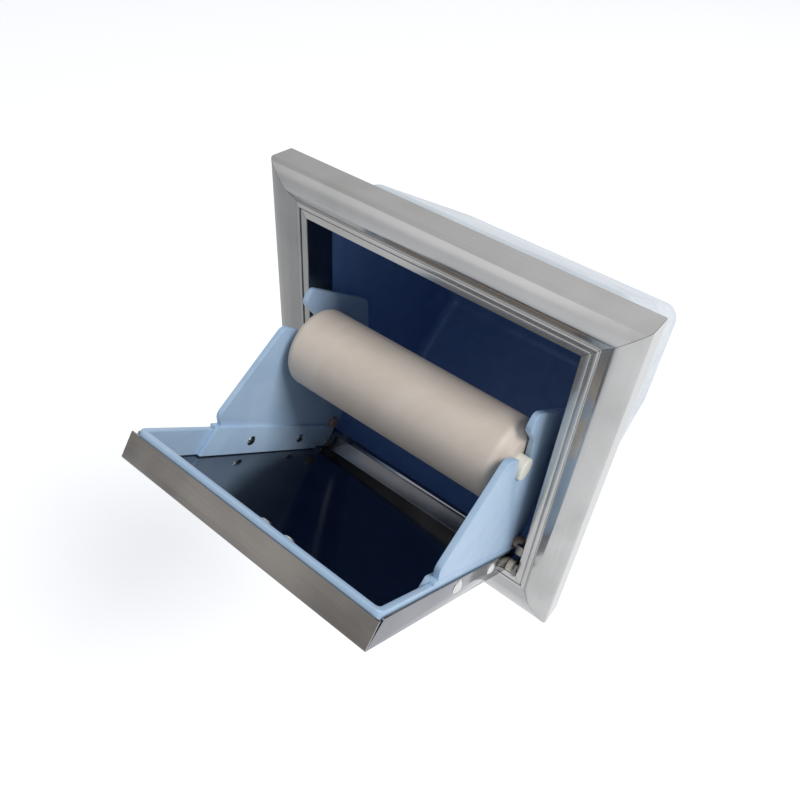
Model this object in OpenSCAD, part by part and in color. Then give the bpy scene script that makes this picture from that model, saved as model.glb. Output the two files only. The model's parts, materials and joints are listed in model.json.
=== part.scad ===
// Recessed toilet paper holder with a tilt-out door.
// X runs across the holder, -Y points out of the wall, Z is up.
// The origin is the centre of the wall opening, on the face of the wall.

/* [Frame] */
// Width of the frame over its outer faces
frame_w = 180; // [168:1:210]
// Height of the frame over its outer faces
frame_h = 185; // [178:1:215]
// Width of one frame member as seen from the front
member_w = 21.5; // [20:0.5:26]
// Thickness of the frame's sheet steel
frame_t = 1; // [0.8:0.1:1.2]
// Height of the flat outer side of the frame above the wall
side_h = 10.8; // [9:0.2:12]
// Radius of the edge between the side and the front face
edge_r = 2.8; // [2:0.1:3.2]
// Height of the crown over the flat outer side
crown_rise = 4.2; // [3.8:0.1:5]
// Distance of the crown's ridge from the outer side
crown_in = 10.5; // [9.5:0.1:11.5]
// How far the face falls from the crown's ridge to the bead
slope_drop = 2.4; // [1.4:0.1:2.8]
// Distance of the bead from the outer side
bead_in = 15.2; // [14.6:0.1:15.6]
// Width of the bead
bead_w = 2.4; // [2:0.1:2.6]
// Height of the bead over the foot of the slope
bead_h = 0.8; // [0.4:0.1:1]
// Width of the raised lip round the opening
lip_w = 3.6; // [3:0.1:3.8]
// Height of the lip over the foot of the slope
lip_h = 0.5; // [0.3:0.1:0.8]
// How far the inner wall of the frame reaches behind the wall's face
return_in = 3; // [2:0.5:6]
// Open joint at each mitre
mitre_gap = 0.2; // [0.1:0.05:0.4]

/* [Recess box] */
// Thickness of the box wall
box_t = 2.2; // [1.6:0.1:3]
// Thickness of the flange behind the frame
flange_t = 2.5; // [2:0.1:3]
// Depth of the recess behind the wall's face
box_depth = 118; // [108:1:135]
// Depth at which the roof starts to slope down
roof_start = 31; // [20:1:40]
// Height of the top of the back wall above the centre
back_top = 23; // [15:1:35]
// Height of the bottom of the back wall below the centre
back_low = 38; // [32:1:48]
// Depth at which the floor of the box starts to slope up
floor_end = 78; // [72:1:90]
// Outer radius of the box's edges
box_r = 9; // [6:0.5:11]
// Depth of the square collar that holds the frame's inner wall
collar_d = 5; // [4:0.5:8]
// Clearance between the box and the frame's inner wall
box_clear = 0.2; // [0.1:0.05:0.4]
// Diameter of the fixing screw holes in the side walls
fix_hole_d = 4.4; // [4:0.1:5]
// Distance between the two fixing holes of a side wall
fix_pitch = 50; // [50:1:66]
// Depth of the first fixing hole behind the wall's face
fix_in = 16; // [15:1:26]
// Height of the fixing holes below the centre
fix_low = 54; // [45:1:55]

/* [Frame fixings] */
// Length of each arm of a corner key
key_arm = 22; // [16:1:28]
// Width of a corner key's arm
key_w = 8; // [7:0.5:10]
// Thickness of a corner key above the flange
key_h = 7.6; // [6:0.2:8]
// Diameter of a frame screw
frame_screw_d = 2.9; // [2.5:0.1:3.2]
// Diameter of a frame screw's countersunk head
frame_head_d = 5.6; // [5:0.1:6]
// How far a frame screw stays below the top of its key
frame_screw_short = 0.5; // [0.2:0.1:1]

/* [Door] */
// Gap between the door and the hinge brackets, at each side
side_gap = 3.7; // [3.4:0.1:4]
// Gap between the shut door and the frame's opening, above and below it
end_room = 2.6; // [2:0.1:3.2]
// Height of the folded side and front flanges
door_flange = 12; // [10.5:0.5:12.5]
// Height of the folded flange at the hinge
hinge_flange = 11; // [9:0.5:12]
// Thickness of the door's sheet steel
sheet_t = 0.8; // [0.6:0.1:1]
// How far the side flanges are cut back at the top of the open front corners
corner_cut = 2.6; // [1.5:0.1:3.5]
// Chamfer at the hinge end of the side flanges
hinge_cut = 4; // [3:0.5:5]
// Angle to which the door is tilted out
door_open = 54; // [48:1:56]

/* [Hinge and stops] */
// Distance of the hinge line in front of the wall's face
pivot_out = 12.8; // [11:0.1:13.5]
// Distance of the hinge line behind the door's outer face
pivot_w = 3.8; // [3.6:0.1:4.2]
// Distance of the hinge line from the door's lower edge
pivot_e = 3.6; // [3.4:0.1:4]
// Diameter of a hinge pin
pin_d = 2.8; // [2.4:0.1:3]
// Outer diameter of a hinge bush's sleeve
sleeve_d = 4.4; // [4:0.1:4.6]
// Diameter of a hinge bush's shoulder
shoulder_d = 6.4; // [6:0.2:7]
// Radial running clearance of pins and axles
run_clear = 0.06; // [0.02:0.01:0.1]
// Radial clearance of bushes and rivets in their holes
fit_clear = 0.05; // [0.02:0.01:0.1]
// Thickness of a hinge bracket's plate
bracket_t = 1.6; // [1.2:0.1:2]
// Width of a bracket's upright plate
bracket_w = 8; // [7.8:0.1:8.2]
// Distance of the plate's rear edge in front of the wall's face
bracket_back = 1; // [0.8:0.1:1.4]
// Radius of the bracket round its hinge pin
nose_r = 4.2; // [3.6:0.1:4.4]
// Height of the plate over the middle of the stop bush
bracket_rise = 9.5; // [9:0.1:10]
// Distance of the bracket's rivets in front of the wall's face
bracket_rivet_out = 5.6; // [5.2:0.1:6]
// Height of the upper bracket rivet over the hinge line
upper_rivet_up = 19.3; // [19:0.1:19.6]
// Height of the lower bracket rivet over the hinge line
lower_rivet_up = 1.8; // [1.4:0.1:2]
// Diameter of a bracket rivet's flat head
bracket_head_d = 4.6; // [4.2:0.1:4.8]
// Height of a bracket rivet's flat head
bracket_head_h = 0.8; // [0.6:0.1:0.9]
// Diameter of a hinge pin's head
pin_head_d = 5; // [4.4:0.1:5.4]
// Thickness of a hinge pin's head
pin_head_t = 1; // [0.8:0.1:1.4]
// Gap between a hinge pin's head and the rim
pin_head_gap = 0.3; // [0.2:0.1:0.5]
// How far a hinge pin's end stays below the bracket's face
pin_short = 0.1; // [0.05:0.05:0.3]
// Gap between a hinge bush's shoulder and the bracket
shoulder_gap = 0.2; // [0.1:0.05:0.3]
// Width of a bracket's stop tab, along the hinge line
tab_w = 2; // [1.6:0.1:2.2]
// Thickness of a bracket's stop tab
tab_t = 1.5; // [1.2:0.1:1.8]
// Height of a bracket's stop tab
tab_h = 7; // [6:0.5:7]
// Length of the bracket's lower arm behind the shut stop bush
arm_end = 0.5; // [0.3:0.1:0.8]
// Height of the bracket's lower arm over its stop tab
arm_h = 3; // [2.5:0.1:3]
// Diameter of a stop bush
stop_d = 6; // [5:0.2:6.2]
// Distance of the stop bush in front of the hinge line, along the door
stop_v = 3.7; // [3:0.1:4.5]
// Distance of the stop bush behind the hinge line, square to the door
stop_w = 13.4; // [13.3:0.1:14]
// Gap between a stop bush and the tab that it meets
stop_gap = 0.1; // [0.05:0.05:0.3]
// Diameter of a stop bush's neck, in the ear
stop_neck_d = 4.2; // [3.6:0.1:4.6]
// Length of a stop bush's inner head
stop_head_l = 2.2; // [1.6:0.1:3]
// Gap between a stop bush and the bracket's plate
stop_side_gap = 0.4; // [0.3:0.05:0.6]

/* [Liner and ears] */
// Thickness of the liner's rim
rim_t = 2.8; // [2:0.1:3.2]
// How far the rim stands over the steel flange
rim_over = 2; // [1:0.2:3]
// Gap between the rim and the steel round it
rim_gap = 0.3; // [0.2:0.05:0.5]
// Gap between the rim's rear ends and the flange at the hinge
rim_end_gap = 0.5; // [0.3:0.1:1]
// Radius of the rim's front corners
rim_r = 3.5; // [3:0.1:5]
// Thickness of an ear's riveted strip
strip_t = 2; // [1.6:0.1:2.6]
// Distance of the strip's front end from the door's free edge
strip_start = 36; // [30:1:44]
// Length of the ramp at the strip's front end
strip_ramp = 4; // [2:0.5:6]
// Gap under the strip
strip_gap = 0.4; // [0.2:0.1:0.8]
// Distance of the strip's rear end from the door's lower edge
strip_rear = 14.8; // [12:0.2:20]
// Thickness of an ear's foot on top of the rim
foot_t = 1.6; // [1.2:0.1:2]
// Thickness of an ear's plate
ear_t = 2.8; // [2:0.1:3]
// How far the ear's plate is set in from the rim's outer face
ear_inset = 0.4; // [0.2:0.1:1]

/* [Ear outline] */
// Distance of the plate's foot from the door's free edge
foot_v = 44; // [43:0.5:46]
// Distance of the plate's bulging front corner from the door's free edge
bulge_v = 40; // [39:0.5:42]
// Height of the bulging front corner over the door's outer face
bulge_w = 20.5; // [19.5:0.5:22]
// Radius of the bulging front corner
bulge_r = 4.5; // [3:0.5:5]
// Distance of the front tip from the door's free edge
tip_v = 57.6; // [57:0.1:58.4]
// Height of the front tip over the door's outer face
tip_w = 66; // [65.4:0.1:66.6]
// Radius of the front tip
tip_r = 4.5; // [3:0.5:5]
// Height of the notch's front edge over the door's outer face
lip_up = 65.4; // [65:0.1:65.8]
// Radius of the notch's front edge
lip_r = 1.6; // [1.2:0.1:2]
// Length of the notch's rear wall above its rounded seat
rear_wall = 11.7; // [11.4:0.1:12.2]
// Radius of the bend over the notch
bend_r = 3; // [2:0.5:3.5]
// Distance of the rear lobe's nose from the door's free edge
lobe_v = 64.4; // [64:0.1:65]
// Height of the lower side of the rear lobe's nose over the door's outer face
lobe_w = 78.2; // [78:0.1:79]
// Radius of the lower side of the rear lobe's nose
lobe_r = 3.5; // [2.5:0.1:3.8]
// Distance of the rear lobe's upper front corner from the door's free edge
crest_v = 64.6; // [64.2:0.1:65.2]
// Height of the rear lobe's upper front corner over the door's outer face
crest_w = 86.2; // [86:0.1:87]
// Radius of the rear lobe's upper front corner
crest_r = 3.6; // [2.5:0.1:3.8]
// Distance of the upper rear corner from the door's lower edge
back_in = 25.8; // [23:0.2:28]
// Height of the upper rear corner over the door's outer face
back_w = 88.5; // [87:0.5:90]
// Radius of the upper rear corner
back_r = 6; // [4:0.5:8]
// Distance of the rear edge's bend from the door's lower edge
rear_in = 2.3; // [1.5:0.1:4]
// Height of the rear edge's bend over the door's outer face
rear_w = 61; // [58:0.5:64]
// Radius of the rear edge's bend
rear_r = 10; // [8:0.5:14]
// Distance of the heel from the door's lower edge
heel_in = 0.5; // [0:0.1:1.5]
// Radius of the heel
heel_r = 3.5; // [2:0.1:4.5]

/* [Roller] */
// Diameter of the roller
roller_d = 39; // [34:0.5:40]
// Bevel round the axle's ends
axle_bevel = 0.6; // [0.4:0.1:1]
// Wall of the roller's tube
tube_t = 2.2; // [1.6:0.1:3]
// Length of an end cap outside the tube
cap_l = 4; // [3:0.2:6]
// Length of the shallow cone at a roller's end
cone_l = 3.4; // [2:0.2:3.8]
// Diameter of the flat face inside the cone
cone_d = 22.4; // [18:0.4:26]
// Length of a cap's plug inside the tube
plug_l = 8; // [6:0.5:12]
// Diameter of the roller's axle
axle_d = 10.4; // [9.6:0.1:10.6]
// Gap between the roller's ends and the ears
end_gap = 0.8; // [0.4:0.1:1]
// How far the axle stands out of the ears
axle_out = 1.7; // [0.6:0.1:2]
// Distance of the roller's axis from the door's free edge
roller_v = 79.2; // [79:0.1:79.6]
// Distance of the roller's axis behind the door's outer face
roller_w = 61.1; // [60.6:0.1:61.4]
// Clearance of the axle in the ears' notches
notch_clear = 0.3; // [0.2:0.05:0.4]

/* [Rivets and nuts] */
// Diameter of a rivet's shank
rivet_d = 3; // [2.6:0.1:3.4]
// Diameter of an ear rivet's domed head
rivet_head_d = 6.8; // [6:0.2:7.6]
// Height of an ear rivet's domed head
rivet_head_h = 1.5; // [1:0.1:2]
// Diameter of a rivet's set end
rivet_tail_d = 5; // [4:0.2:5.4]
// Height of a rivet's set end
rivet_tail_h = 1; // [0.8:0.1:1.4]
// Distance of the first ear rivet from the door's free edge
rivet_front = 66; // [60:0.5:72]
// Distance between the two rivets of an ear
rivet_pitch = 38; // [34:0.5:44]
// Height of the ear rivets over the door's outer face
rivet_up = 8.2; // [7:0.1:8.5]
// Diameter of a liner stud
stud_d = 3; // [2.6:0.1:3.4]
// Distance of the first liner stud from the door's centre
stud_x = 6.5; // [4:0.5:10]
// Distance between the liner studs
stud_pitch = 11.5; // [10:0.5:14]
// Height of the liner studs over the door's outer face
stud_up = 10.3; // [9:0.1:10.4]
// Diameter of a liner stud's washer
washer_d = 8; // [7:0.2:8.2]
// Thickness of a liner stud's washer
washer_t = 0.8; // [0.6:0.1:1]
// Diameter of a liner stud's domed nut
nut_d = 6.4; // [5:0.2:6.6]
// Height of the nut's straight part
nut_t = 1.6; // [1.2:0.1:2]
// Height of the nut's dome
nut_dome = 1.8; // [1.4:0.1:2.4]

/* [Hidden] */
$fn = 64;
eps = 0.01;
STEEL = [0.71, 0.71, 0.71];
DARK_STEEL = [0.46, 0.45, 0.44];
CHROME = [0.82, 0.82, 0.84];
BLUE = [0.68, 0.79, 0.89];
CREAM = [0.81, 0.77, 0.72];
PALE = [0.87, 0.85, 0.80];
TAN = [0.66, 0.54, 0.44];

// opening in the frame
open_w = frame_w - 2 * member_w;
open_h = frame_h - 2 * member_w;
// face of the frame
face_h = side_h + crown_rise;
slope_h = face_h - slope_drop;
bead_top = slope_h + bead_h;
lip_top = slope_h + lip_h;
// the crown is one arc that meets the rounded edge without a corner
crown_run = crown_in - edge_r;
crown_r = (crown_run * crown_run + crown_rise * crown_rise - edge_r * edge_r)
    / (2 * (crown_rise - edge_r));
crown_a = asin(crown_run / (crown_r - edge_r));
// recess box
box_in_w = open_w + 2 * (frame_t + box_clear);
box_in_h = open_h + 2 * (frame_t + box_clear);
box_floor = -box_in_h / 2;
collar_w = box_in_w + 2 * box_t;
collar_h = box_in_h + 2 * box_t;
flange_w = frame_w - 2 * (frame_t + box_clear);
flange_h = frame_h - 2 * (frame_t + box_clear);
screw_in = frame_t + key_w / 2;
// hinge line and door
door_w = open_w - 2 * (bracket_t + side_gap);
door_l = open_h - 2 * end_room;
pivot_y = -pivot_out;
pivot_z = -open_h / 2 + end_room + pivot_e;
pivot_v = door_l - pivot_e;
half_door = door_w / 2;
rim_out = half_door - sheet_t - rim_gap;
rim_in = rim_out - rim_t;
rim_low = sheet_t + rim_gap;
rim_top = door_flange + rim_over;
rim_front = sheet_t + rim_gap;
strip_in = rim_in - strip_t;
strip_end = door_l - strip_rear;
liner_face = rim_front + rim_t;
foot_top = rim_top + foot_t;
ear_out = rim_out - ear_inset;
ear_in = ear_out - ear_t;
// brackets lie on the inner faces of the frame's opening
bracket_out = open_w / 2;
bracket_in = bracket_out - bracket_t;
tab_in = bracket_in - tab_w;
stop_r = stop_d / 2;
stop_open = swing(stop_v, stop_w, door_open);
stop_shut = swing(stop_v, stop_w, 0);
bracket_rivets_z = [pivot_z + upper_rivet_up, pivot_z + lower_rivet_up];
// roller
axle_r = axle_d / 2;
notch_r = axle_r + notch_clear;
roller_half = ear_in - end_gap;
axle_half = ear_out + axle_out;
tube_half = roller_half - cap_l;
tube_in_r = roller_d / 2 - tube_t;

// Points of an arc from angle a to angle b, in n steps
function arc(c, r, a, b, n) =
    [for (i = [0:n]) c + r * [cos(a + (b - a) * i / n), sin(a + (b - a) * i / n)]];
function unit(v) = v / norm(v);
// Corner p between the points a and b, rounded with radius r
function round_corner(a, p, b, r, n) =
    let (
        u = unit(a - p),
        w = unit(b - p),
        half = acos(u * w) / 2,
        c = p + unit(u + w) * r / sin(half),
        s = p + u * r / tan(half) - c,
        e = p + w * r / tan(half) - c,
        from = atan2(s[1], s[0]),
        turn = atan2(e[1], e[0]) - from,
        span = turn > 180 ? turn - 360 : turn < -180 ? turn + 360 : turn
    )
    arc(c, r, from, from + span, n);
// Outline through the corners [x, y, radius]
function rounded(p, n = 8) =
    let (m = len(p))
    [for (i = [0:m - 1])
        let (
            q = [p[i][0], p[i][1]],
            a = [p[(i + m - 1) % m][0], p[(i + m - 1) % m][1]],
            b = [p[(i + 1) % m][0], p[(i + 1) % m][1]]
        )
        each (p[i][2] > 0 ? round_corner(a, q, b, p[i][2], n) : [q])];
// Convex outline, given clockwise, moved outward by d
function grown(p, d) =
    let (m = len(p))
    [for (i = [0:m - 1])
        let (
            a = p[(i + m - 1) % m],
            q = p[i],
            b = p[(i + 1) % m],
            u = unit(q - a),
            w = unit(b - q),
            nu = [-u[1], u[0]],
            nw = [-w[1], w[0]]
        )
        q + (nu + nw) * d / (1 + nu * nw)];
// Place in [y, z] of a point that turns with the door, at opening angle a
function swing(dv, dw, a) =
    [pivot_y - dv * sin(a) + dw * cos(a), pivot_z + dv * cos(a) + dw * sin(a)];

// Puts a piece on both sides, mirrored
module both_sides() {
    children();
    mirror([1, 0, 0]) children();
}

// Door pieces are drawn with X across, Y behind the outer face and
// Z = 0 at the free edge, then turned about the hinge line
module on_door() {
    translate([0, pivot_y, pivot_z])
        rotate([door_open, 0, 0])
            translate([0, -pivot_w, pivot_v])
                children();
}

// Extrudes an outline in [z, y] of the door between two places across it
module across(x0, x1) {
    translate([x0, 0, 0])
        rotate([0, -90, 0])
            mirror([0, 0, 1])
                linear_extrude(x1 - x0)
                    children();
}

// A cylinder that lies along X
module rod(x0, x1, d) {
    translate([x0, 0, 0])
        rotate([0, 90, 0])
            cylinder(h = x1 - x0, d = d);
}

// A domed head of a rivet or nut that starts at Z = 0
module dome(d, h) {
    r = (d * d / 4 + h * h) / (2 * h);
    intersection() {
        translate([0, 0, h - r]) sphere(r);
        cylinder(h = h + 1, d = d);
    }
}

// ---------- frame ----------

// The rounded edge and the crown, d below the surface
function crown(d) = concat(
    arc([edge_r, side_h], edge_r - d, 180, 90 + crown_a, 6),
    [for (p = arc([crown_in, face_h - crown_r], crown_r - d, 90 + crown_a, 90, 12))
        if (p[0] > edge_r) p]
);

// The face of the frame as [distance in, height]
function face() = concat(
    [[0, 0]],
    crown(0),
    [
        [bead_in, slope_h],
        [bead_in + 0.3, bead_top],
        [bead_in + bead_w - 0.3, bead_top],
        [bead_in + bead_w, slope_h],
        [member_w - lip_w, slope_h],
        [member_w - lip_w + 0.2, lip_top],
        [member_w, lip_top],
        [member_w, -return_in]
    ]
);

// The back of the sheet, from the opening to the outer side
function back() = [
    [member_w - frame_t, -return_in],
    [member_w - frame_t, slope_h - frame_t],
    [bead_in - 0.3, slope_h - frame_t],
    for (i = [len(crown(frame_t)) - 1:-1:0]) crown(frame_t)[i],
    [frame_t, 0]
];

module frame_section() {
    polygon(concat(face(), back()));
}

// One member along X, its outer face at height half, with mitred ends
module member(length, half) {
    cut = mitre_gap / 2;
    intersection() {
        translate([-length / 2, 0, half])
            rotate([0, 90, 0])
                linear_extrude(length)
                    mirror([0, 1, 0])
                        frame_section();
        rotate([90, 0, 0])
            translate([0, 0, -return_in - 1])
                linear_extrude(face_h + return_in + 2)
                    polygon([
                        [-length / 2 + cut, half],
                        [length / 2 - cut, half],
                        [length / 2 - member_w - cut, half - member_w],
                        [-length / 2 + member_w + cut, half - member_w]
                    ]);
    }
}

module frame_top() {
    color(STEEL) member(frame_w, frame_h / 2);
}

module frame_bottom() {
    color(STEEL) mirror([0, 0, 1]) member(frame_w, frame_h / 2);
}

module side_member() {
    difference() {
        rotate([0, 90, 0]) member(frame_h, frame_w / 2);
        for (z = bracket_rivets_z)
            translate([0, -bracket_rivet_out, z])
                rod(bracket_in - 1, frame_w / 2 - member_w + frame_t + 1, rivet_d + 2 * fit_clear);
    }
}

module frame_right() {
    color(STEEL) side_member();
}

module frame_left() {
    color(STEEL) mirror([1, 0, 0]) side_member();
}

// ---------- recess box ----------

// Inside of the box from the side, clockwise as [depth, height]
function box_side() = [
    [-flange_t, box_floor],
    [-flange_t, box_in_h / 2],
    [roof_start, box_in_h / 2],
    [box_depth, back_top],
    [box_depth, -back_low],
    [floor_end, box_floor]
];

// Solid body of the box with its edges rounded by r, about the same centres
// inside and outside
module box_body(r) {
    inner_r = box_r - box_t;
    centres = grown(box_side(), -inner_r);
    half = box_in_w / 2 - inner_r;
    hull()
        for (sx = [-1, 1], i = [0:5])
            if (i < 2)
                translate([sx * half, -flange_t, centres[i][1]])
                    rotate([-90, 0, 0])
                        cylinder(h = 1, r = r, $fn = 32);
            else
                translate([sx * half, centres[i][0], centres[i][1]])
                    sphere(r, $fn = 32);
}

module recess_box() {
    color(BLUE)
        difference() {
            union() {
                box_body(box_r);
                translate([-collar_w / 2, -flange_t, -collar_h / 2])
                    cube([collar_w, flange_t + collar_d, collar_h]);
                translate([-flange_w / 2, -flange_t, -flange_h / 2])
                    cube([flange_w, flange_t, flange_h]);
            }
            translate([0, -eps, 0]) box_body(box_r - box_t);
            translate([-box_in_w / 2, -flange_t - 1, -box_in_h / 2])
                cube([box_in_w, flange_t + 1 + return_in + box_clear, box_in_h]);
            for (i = [0:1])
                translate([0, fix_in + i * fix_pitch, -fix_low])
                    rod(-box_in_w, box_in_w, fix_hole_d);
            at_corners() {
                translate([0, 1, 0])
                    rotate([90, 0, 0])
                        cylinder(h = flange_t + 2, d = frame_screw_d + 2 * fit_clear);
                countersink(fit_clear);
            }
        }
}

// ---------- frame fixings ----------

// Repeats a piece at the four screw places of the frame's corners
module at_corners() {
    for (sx = [-1, 1], sz = [-1, 1])
        translate([sx * (frame_w / 2 - screw_in), 0, sz * (frame_h / 2 - screw_in)])
            children();
}

// Countersunk head, flush with the back of the flange
module countersink(clear) {
    sink = (frame_head_d - frame_screw_d) / 2;
    rotate([90, 0, 0])
        cylinder(h = sink, d1 = frame_head_d + 2 * clear, d2 = frame_screw_d + 2 * clear);
}

module corner_key() {
    outer = [frame_w / 2 - frame_t, frame_h / 2 - frame_t];
    difference() {
        translate([0, -flange_t, 0])
            rotate([90, 0, 0])
                linear_extrude(key_h)
                    polygon([
                        outer,
                        outer - [key_arm, 0],
                        outer - [key_arm, key_w],
                        outer - [key_w, key_w],
                        outer - [key_w, key_arm],
                        outer - [0, key_arm]
                    ]);
        translate([frame_w / 2 - screw_in, 1, frame_h / 2 - screw_in])
            rotate([90, 0, 0])
                cylinder(h = face_h, d = frame_screw_d + 2 * fit_clear);
    }
}

module corner_keys() {
    color(STEEL)
        both_sides() {
            corner_key();
            mirror([0, 0, 1]) corner_key();
        }
}

module frame_screws() {
    color(STEEL)
        at_corners() {
            rotate([90, 0, 0])
                cylinder(h = flange_t + key_h - frame_screw_short, d = frame_screw_d);
            countersink(0);
        }
}

// ---------- hinge brackets and pins ----------

module hinge_bracket() {
    front = -bracket_back - bracket_w;
    top = stop_open[1] + bracket_rise;
    low = pivot_z - nose_r;
    rear = stop_shut[0] + stop_r + arm_end;
    open_tab = stop_open[0] - stop_r - stop_gap;
    shut_tab = stop_shut[1] - stop_r - stop_gap;
    difference() {
        union() {
            translate([bracket_in, front, low]) cube([bracket_t, bracket_w, top - low]);
            translate([bracket_in, front, low]) cube([bracket_t, rear - front, shut_tab - low + arm_h]);
            translate([bracket_in, pivot_y, low]) cube([bracket_t, front - pivot_y + eps, 2 * nose_r]);
            translate([0, pivot_y, pivot_z]) rod(bracket_in, bracket_out, 2 * nose_r);
            translate([bracket_in, open_tab - tab_t, stop_open[1] - tab_h / 2])
                cube([bracket_t, front - open_tab + tab_t + eps, tab_h]);
            translate([tab_in, open_tab - tab_t, stop_open[1] - tab_h / 2])
                cube([tab_w + eps, tab_t, tab_h]);
            translate([tab_in, stop_shut[0] - stop_r, shut_tab - tab_t])
                cube([tab_w + eps, stop_d, tab_t]);
        }
        translate([0, pivot_y, pivot_z])
            rod(bracket_in - 1, bracket_out + 1, pin_d + 2 * fit_clear);
        for (z = bracket_rivets_z)
            translate([0, -bracket_rivet_out, z])
                rod(bracket_in - 1, bracket_out + 1, rivet_d + 2 * fit_clear);
    }
}

module hinge_bracket_right() {
    color(STEEL) hinge_bracket();
}

module hinge_bracket_left() {
    color(STEEL) mirror([1, 0, 0]) hinge_bracket();
}

// Rivet along X: shank between two faces, flat head at x0, set end at x1
module plain_rivet(x0, x1, head_d, head_h, tail_d) {
    rod(x0 - eps, x1 + eps, rivet_d);
    translate([x0, 0, 0]) rotate([0, -90, 0]) dome(head_d, head_h);
    translate([x1, 0, 0]) rotate([0, 90, 0]) dome(tail_d, rivet_tail_h);
}

module bracket_rivets() {
    color(CHROME)
        both_sides()
            for (z = bracket_rivets_z)
                translate([0, -bracket_rivet_out, z])
                    plain_rivet(
                        bracket_in, bracket_out + frame_t, bracket_head_d, bracket_head_h, bracket_head_d
                    );
}

module hinge_pin() {
    head_in = rim_in - pin_head_gap - pin_head_t;
    translate([0, pivot_y, pivot_z]) {
        rod(head_in, bracket_out - pin_short, pin_d);
        rod(head_in, head_in + pin_head_t, pin_head_d);
    }
}

module hinge_pin_right() {
    color(CHROME) hinge_pin();
}

module hinge_pin_left() {
    color(CHROME) mirror([1, 0, 0]) hinge_pin();
}

// ---------- door ----------

module door_panel() {
    color(DARK_STEEL)
        on_door()
            difference() {
                union() {
                    translate([-half_door, 0, -door_l]) cube([door_w, sheet_t, door_l]);
                    translate([-half_door, 0, -sheet_t]) cube([door_w, door_flange, sheet_t]);
                    // side flanges, cut back at their open front corners
                    both_sides()
                        across(half_door - sheet_t, half_door)
                            polygon([
                                [-sheet_t, 0],
                                [-sheet_t - corner_cut, door_flange],
                                [-door_l + hinge_cut, door_flange],
                                [-door_l, door_flange - hinge_cut],
                                [-door_l, 0]
                            ]);
                    translate([-half_door, 0, -door_l])
                        cube([door_w, hinge_flange - hinge_cut, sheet_t]);
                    translate([-half_door + hinge_cut, 0, -door_l])
                        cube([door_w - 2 * hinge_cut, hinge_flange, sheet_t]);
                }
                door_bores();
            }
}

// Holes through the side flanges, the rim and the strips
module door_bores() {
    translate([0, pivot_w, -pivot_v])
        rod(-door_w, door_w, sleeve_d + 2 * fit_clear);
    for (i = [0:1])
        translate([0, rivet_up, -rivet_front - i * rivet_pitch])
            rod(-door_w, door_w, rivet_d + 2 * fit_clear);
}

module door_liner() {
    end = door_l - sheet_t - rim_end_gap;
    color(BLUE)
        on_door()
            difference() {
                translate([0, rim_top, 0])
                    rotate([90, 0, 0])
                        linear_extrude(rim_top - rim_low)
                            difference() {
                                polygon(rounded([
                                    [-rim_out, -rim_front, rim_r],
                                    [rim_out, -rim_front, rim_r],
                                    [rim_out, -end, 0],
                                    [-rim_out, -end, 0]
                                ]));
                                polygon(rounded([
                                    [-rim_in, -rim_front - rim_t, rim_r - rim_t],
                                    [rim_in, -rim_front - rim_t, rim_r - rim_t],
                                    [rim_in, -end - 1, 0],
                                    [-rim_in, -end - 1, 0]
                                ]));
                            }
                door_bores();
                for (i = [0:1])
                    translate([stud_x + i * stud_pitch, stud_up, -rim_front - rim_t - 1])
                        cylinder(h = rim_t + 2, d = stud_d + 2 * rim_gap);
            }
}

// ---------- ears ----------

// Outline of an ear's plate as [along the door, height]; the notch's seat is
// an arc about the roller's axis, and its walls stand upright on the open door
function ear_outline() =
    let (
        seat = [-roller_v, roller_w],
        lean = [cos(door_open), sin(door_open)],
        front = seat + notch_r * [lean[1], -lean[0]],
        lip = front + lean * (lip_up - front[1]) / lean[1],
        rear = seat - notch_r * [lean[1], -lean[0]],
        bend = rear + lean * rear_wall,
        before = rounded([
            [heel_in - door_l, rim_top, heel_r],
            [-foot_v, foot_top - 1, 0],
            [-bulge_v, bulge_w, bulge_r],
            [-tip_v, tip_w, tip_r],
            [lip[0], lip[1], lip_r],
            [front[0], front[1], 0],
            [-door_l, front[1], 0]
        ]),
        after = rounded([
            [rear[0], rear[1], 0],
            [bend[0], bend[1], bend_r],
            [-lobe_v, lobe_w, lobe_r],
            [-crest_v, crest_w, crest_r],
            [back_in - door_l, back_w, back_r],
            [rear_in - door_l, rear_w, rear_r],
            [heel_in - door_l, rim_top, 0]
        ])
    )
    concat(
        [for (i = [0:len(before) - 2]) before[i]],
        arc(seat, notch_r, door_open - 98, door_open - 270, 20),
        [for (i = [1:len(after) - 2]) after[i]]
    );

module ear() {
    difference() {
        union() {
            // strip inside the rim, with a ramp at its front end
            across(strip_in, rim_in)
                polygon([
                    [-strip_start, rim_low + strip_gap],
                    [-strip_end, rim_low + strip_gap],
                    [-strip_end, foot_top],
                    [-strip_start - strip_ramp, foot_top]
                ]);
            translate([strip_in, rim_top, -strip_end])
                cube([rim_out - strip_in, foot_t, strip_end - strip_start - strip_ramp]);
            across(ear_in, ear_out) polygon(ear_outline());
        }
        translate([0, roller_w, -roller_v]) rod(ear_in - 1, ear_out + 1, 2 * notch_r);
        translate([0, pivot_w + stop_w, -pivot_v + stop_v])
            rod(ear_in - 1, ear_out + 1, stop_neck_d + 2 * fit_clear);
        door_bores();
    }
}

module ear_right() {
    color(BLUE) on_door() ear();
}

module ear_left() {
    color(BLUE) on_door() mirror([1, 0, 0]) ear();
}

module ear_rivets() {
    color(CHROME)
        on_door()
            both_sides()
                for (i = [0:1])
                    translate([0, rivet_up, -rivet_front - i * rivet_pitch])
                        mirror([1, 0, 0])
                            plain_rivet(-half_door, -strip_in, rivet_head_d, rivet_head_h, rivet_tail_d);
}

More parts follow.
